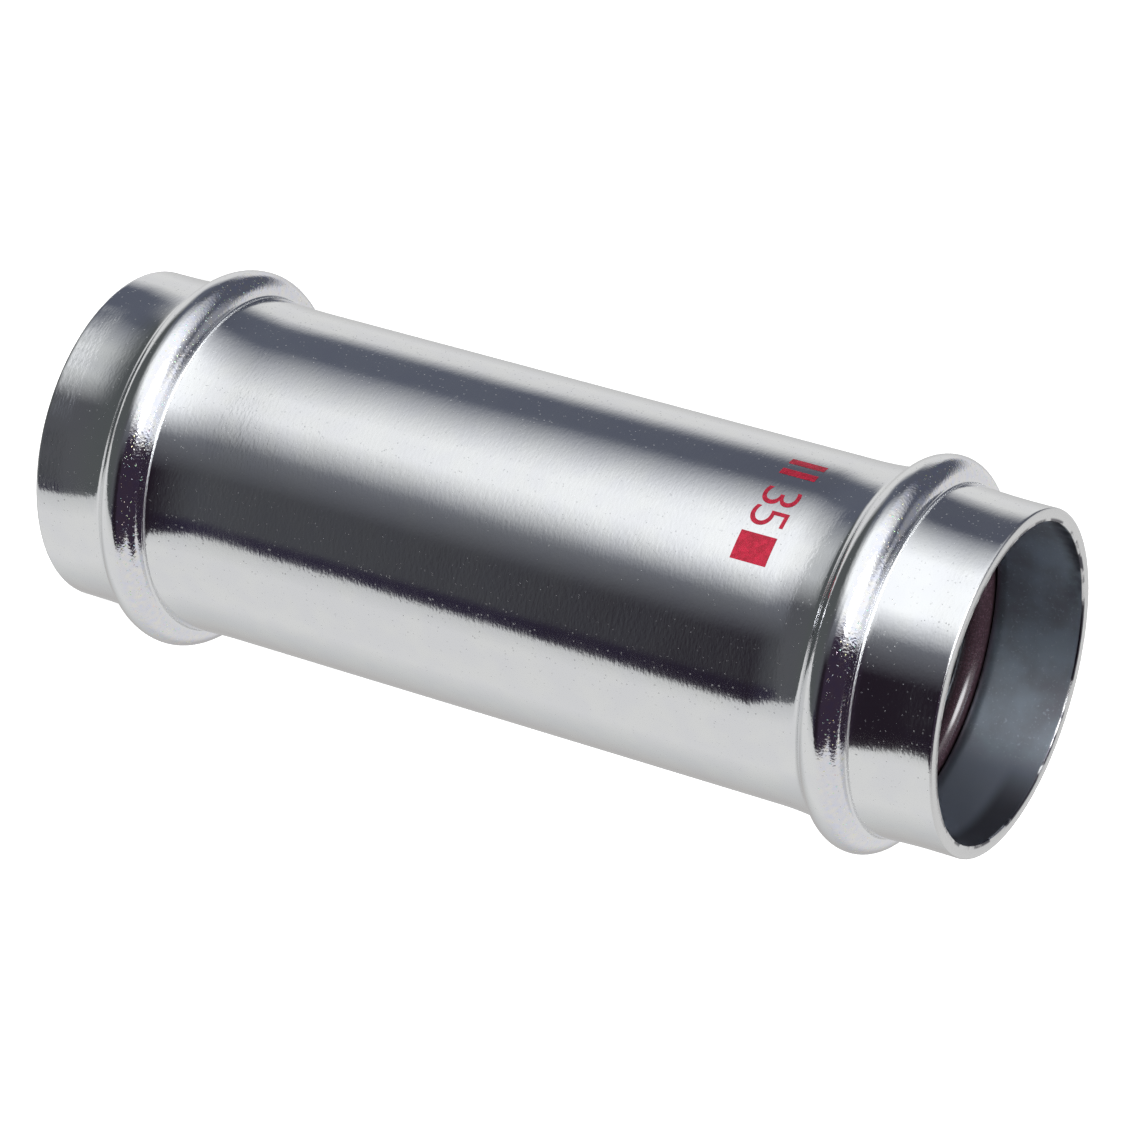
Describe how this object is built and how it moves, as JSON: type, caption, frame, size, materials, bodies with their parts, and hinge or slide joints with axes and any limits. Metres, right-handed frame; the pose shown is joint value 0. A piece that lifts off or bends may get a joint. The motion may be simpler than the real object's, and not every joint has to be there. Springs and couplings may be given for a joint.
{
  "type": "press coupling",
  "caption": "Straight slip coupling for press-joined thin-walled steel pipe: a formed tube with a rolled bead near each mouth and an O-ring seated inside each bead.",
  "frame": {"origin": "on the tube's axis, in the plane of the lower mouth's cut end, which is also the lowest plane of the part", "axes": "+Z runs along the tube's axis from the lower mouth to the upper one; the size mark printed near the upper bead faces about -Y"},
  "size_m": [0.044, 0.044, 0.112],
  "materials": {
    "zinc_plated_steel": "bright zinc electroplate with a faint blue tint over formed carbon steel, mirror-like with a fine grain round the tube",
    "seal_rubber": "dark brown rubber, smooth and lightly greased, glossy"
  },
  "bodies": {
    "root": {"sleeve": "zinc_plated_steel", "lower_seal": "seal_rubber", "upper_seal": "seal_rubber"}
  },
  "joints": []
}
